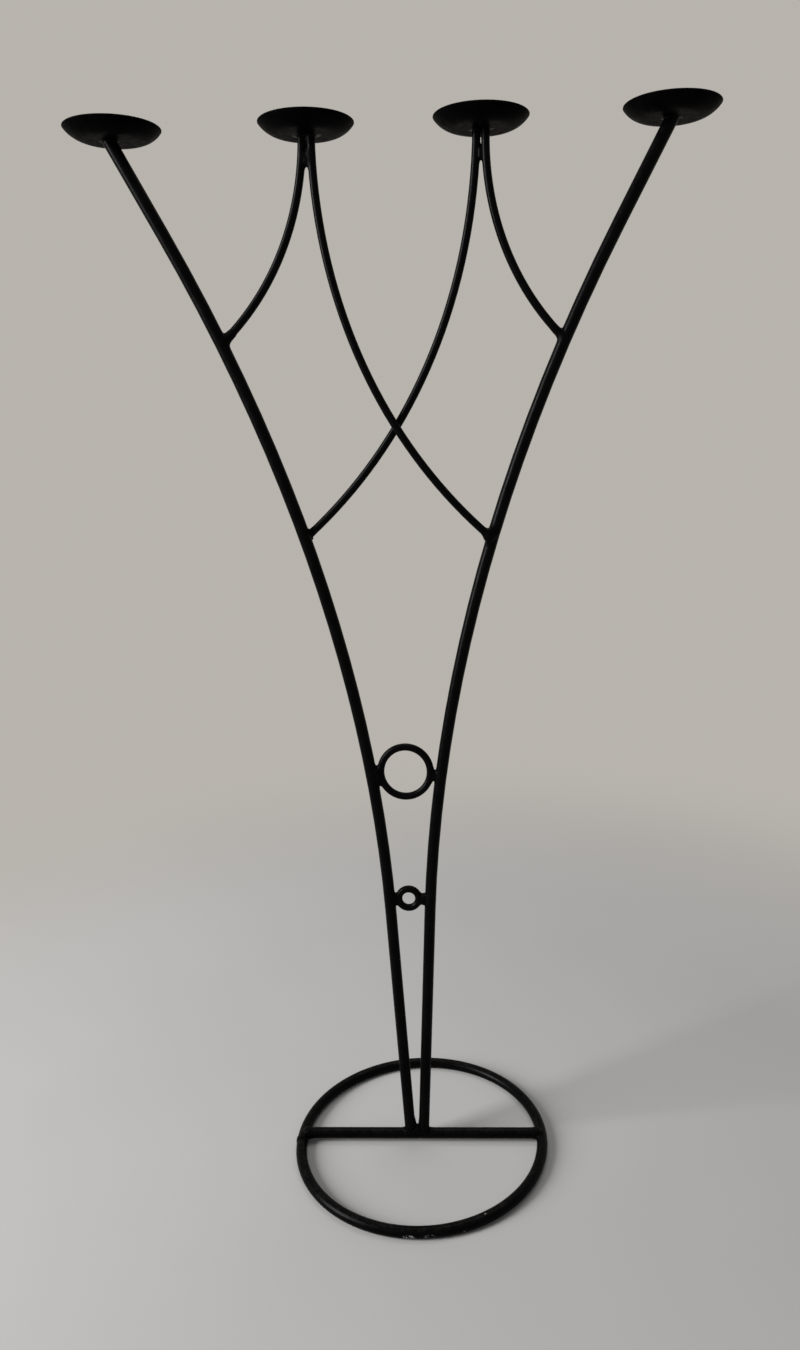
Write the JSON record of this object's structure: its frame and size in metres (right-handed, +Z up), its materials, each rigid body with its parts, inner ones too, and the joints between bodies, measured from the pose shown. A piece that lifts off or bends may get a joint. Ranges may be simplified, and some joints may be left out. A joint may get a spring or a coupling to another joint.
{
  "type": "candle stand",
  "caption": "Free-standing welded candle stand of round steel rod: a floor ring with a crossbar, stems that curve apart, arched branches and shallow dishes that hold candles.",
  "frame": {"origin": "on the floor, at the middle of the base ring", "axes": "+Z up, +X along the crossbar towards the right stem, +Y away from the side it is seen from"},
  "size_m": [0.3822, 0.19, 0.7028],
  "materials": {
    "painted_rod": "satin black paint on round steel rod",
    "painted_sheet": "satin black paint on pressed steel sheet",
    "painted_weld": "satin black paint over rough weld beads"
  },
  "bodies": {
    "root": {"base_ring": "painted_rod", "base_crossbar": "painted_rod", "left_stem": "painted_rod", "right_stem": "painted_rod", "left_outer_branch": "painted_rod", "right_outer_branch": "painted_rod", "left_cross_branch": "painted_rod", "right_cross_branch": "painted_rod", "large_ring": "painted_rod", "small_ring": "painted_rod", "outer_left_dish": "painted_sheet", "inner_left_dish": "painted_sheet", "inner_right_dish": "painted_sheet", "outer_right_dish": "painted_sheet", "base_seam_weld": "painted_weld", "crossbar_left_weld": "painted_weld", "crossbar_right_weld": "painted_weld", "stem_foot_weld": "painted_weld", "large_ring_left_weld": "painted_weld", "large_ring_right_weld": "painted_weld", "small_ring_left_weld": "painted_weld", "small_ring_right_weld": "painted_weld", "left_outer_branch_weld": "painted_weld", "right_outer_branch_weld": "painted_weld", "left_cross_branch_weld": "painted_weld", "right_cross_branch_weld": "painted_weld", "left_pair_weld": "painted_weld", "right_pair_weld": "painted_weld", "outer_left_dish_weld": "painted_weld", "inner_left_dish_weld": "painted_weld", "inner_right_dish_weld": "painted_weld", "outer_right_dish_weld": "painted_weld"}
  },
  "joints": []
}
